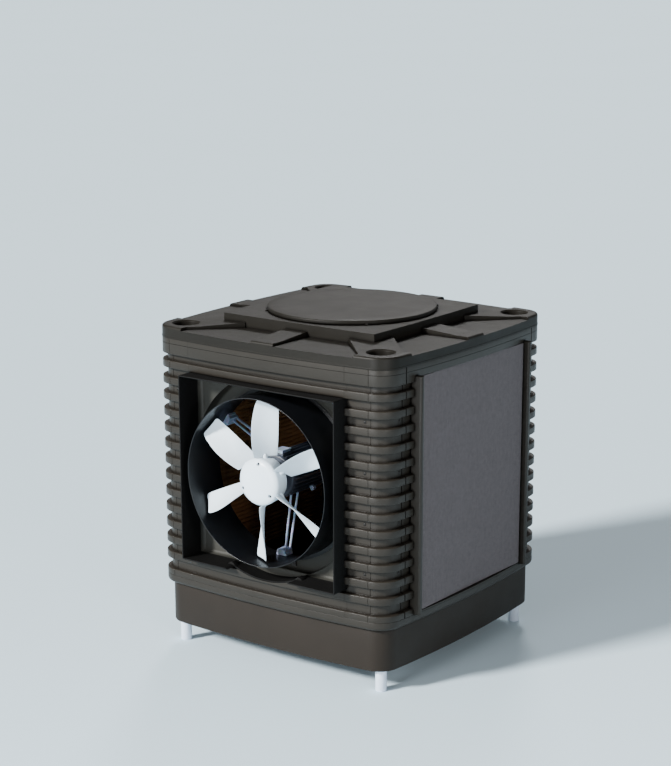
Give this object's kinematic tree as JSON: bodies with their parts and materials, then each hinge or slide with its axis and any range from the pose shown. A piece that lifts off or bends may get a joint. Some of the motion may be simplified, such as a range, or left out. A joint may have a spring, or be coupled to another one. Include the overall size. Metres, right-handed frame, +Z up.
{
  "type": "evaporative cooler",
  "caption": "Square ribbed plastic cabinet on a water tank with leg tubes, filter panels on three sides and an axial fan in a square front duct collar.",
  "frame": {"origin": "centre of the overall box at the height of the feet", "axes": "+Z up, -Y out of the air outlet, +X to the right of someone who faces the outlet"},
  "size_m": [1.08, 1.148, 1.238],
  "materials": {
    "tank_plastic": "satin moulded grain",
    "leg_pvc": "smooth satin",
    "body_plastic": "satin moulded grain",
    "lid_plastic": "satin moulded grain",
    "duct_plastic": "fine grain",
    "clip_plastic": "satin",
    "filter_bars": "satin",
    "filter_cloth": "non-woven felt",
    "pad_paper": "wet-strength fluted paper",
    "screw_black": "black passivated",
    "fan_white": "satin",
    "steel": "zinc plated",
    "motor_paint": "powder coat over cast fins",
    "galvanised": "galvanised",
    "box_plastic": "satin",
    "pump_plastic": "satin",
    "impeller_plastic": "satin",
    "hose_rubber": "matte",
    "pipe_pvc": "satin",
    "brass_fitting": "dull machined",
    "valve_plastic": "satin",
    "float_plastic": "satin",
    "lever_red": "dipped vinyl"
  },
  "bodies": {
    "cabinet": {"base_tank": "tank_plastic", "corner_legs": "leg_pvc", "bottom_frame": "body_plastic", "top_frame": "body_plastic", "column_front_left": "body_plastic", "column_front_right": "body_plastic", "column_rear_left": "body_plastic", "column_rear_right": "body_plastic", "front_panel": "body_plastic", "duct_collar": "duct_plastic", "venturi_plate": "duct_plastic", "fan_ring": "duct_plastic", "ring_clips": "clip_plastic", "side_frame_right": "body_plastic", "side_frame_left": "body_plastic", "side_frame_rear": "body_plastic", "cooling_pad_right": "pad_paper", "cooling_pad_left": "pad_paper", "cooling_pad_rear": "pad_paper", "panel_screws": "screw_black", "motor_body": "motor_paint", "motor_bell_front": "motor_paint", "motor_bell_rear": "motor_paint", "motor_knob": "galvanised", "motor_terminal": "galvanised", "motor_arms": "galvanised", "arm_feet": "galvanised", "arm_bolts": "steel", "junction_box": "box_plastic", "junction_cover": "box_plastic", "water_pump": "pump_plastic", "pump_strainer": "pump_plastic", "riser_hose": "hose_rubber", "distributor_pipe": "pipe_pvc", "water_inlet": "brass_fitting", "float_valve": "valve_plastic", "overflow_pipe": "pipe_pvc", "drain_valve": "brass_fitting"},
    "fan": {"fan_hub": "fan_white", "hub_screws": "steel", "blade_clamps": "fan_white", "fan_blade_1": "fan_white", "fan_blade_2": "fan_white", "fan_blade_3": "fan_white", "fan_blade_4": "fan_white", "fan_blade_5": "fan_white", "fan_blade_6": "fan_white", "motor_shaft": "steel"},
    "pump_rotor": {"pump_impeller": "impeller_plastic"},
    "float": {"float_arm": "brass_fitting", "float_ball": "float_plastic"},
    "drain_lever": {"drain_handle": "lever_red"},
    "filter_right_panel": {"filter_frame_right": "filter_bars", "dust_filter_right": "filter_cloth"},
    "filter_left_panel": {"filter_frame_left": "filter_bars", "dust_filter_left": "filter_cloth"},
    "filter_rear_panel": {"filter_frame_rear": "filter_bars", "dust_filter_rear": "filter_cloth"},
    "lid_cover": {"lid": "lid_plastic", "lid_disc": "lid_plastic"}
  },
  "joints": [
    {"name": "fan_spin", "type": "hinge", "parent": "cabinet", "child": "fan", "pos_m": [0, -0.48, 0.7], "axis": [0, 1, 0], "continuous": true},
    {"name": "pump_spin", "type": "hinge", "parent": "cabinet", "child": "pump_rotor", "pos_m": [-0.21, 0.215, 0.12], "axis": [0, 0, 1], "continuous": true},
    {"name": "float_swing", "type": "hinge", "parent": "cabinet", "child": "float", "pos_m": [0.3, 0.436, 0.205], "axis": [1, 0, 0], "range_deg": [-8, 28]},
    {"name": "drain_turn", "type": "hinge", "parent": "cabinet", "child": "drain_lever", "pos_m": [-0.3, 0.54, 0.135], "axis": [0, 0, 1], "range_deg": [0, 90]},
    {"name": "filter_right_pull", "type": "slide", "parent": "cabinet", "child": "filter_right_panel", "axis": [1, 0, 0], "range_m": [0, 0.12]},
    {"name": "filter_left_pull", "type": "slide", "parent": "cabinet", "child": "filter_left_panel", "axis": [-1, 0, 0], "range_m": [0, 0.12]},
    {"name": "filter_rear_pull", "type": "slide", "parent": "cabinet", "child": "filter_rear_panel", "axis": [0, 1, 0], "range_m": [0, 0.12]},
    {"name": "lid_lift", "type": "slide", "parent": "cabinet", "child": "lid_cover", "axis": [0, 0, 1], "range_m": [0, 0.25]}
  ]
}
